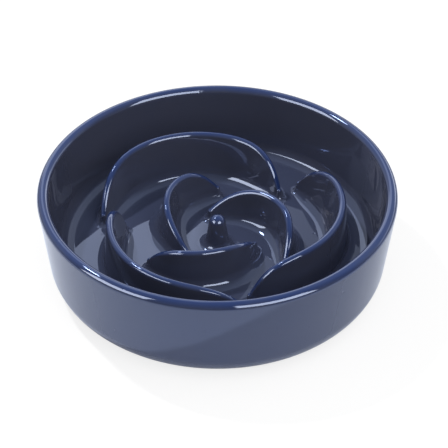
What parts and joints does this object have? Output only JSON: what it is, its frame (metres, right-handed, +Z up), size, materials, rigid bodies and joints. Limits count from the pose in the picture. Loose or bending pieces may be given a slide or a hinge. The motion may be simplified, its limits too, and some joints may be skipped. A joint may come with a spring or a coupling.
{
  "type": "slow feeder bowl",
  "caption": "Round glazed ceramic pet bowl with a flaring wall, full-round lip and a raised rose maze of curved petals on its floor that slows eating.",
  "frame": {"origin": "on the bowl's axis, at the surface that the foot ring stands on", "axes": "+Z up along the bowl's axis, +X to the right and +Y away from the viewer of the picture"},
  "size_m": [0.206, 0.206, 0.061],
  "materials": {
    "blue_glaze": "glossy dark blue glaze, a little lighter on the crests and the lip",
    "bare_clay": "matt unglazed stoneware, wiped before firing"
  },
  "bodies": {
    "root": {"bowl_shell": "blue_glaze", "outer_petal_right": "blue_glaze", "outer_petal_back": "blue_glaze", "outer_petal_front": "blue_glaze", "inner_petal_right": "blue_glaze", "inner_petal_left": "blue_glaze", "inner_petal_front": "blue_glaze", "centre_bud": "blue_glaze", "foot_ring": "bare_clay"}
  },
  "joints": []
}
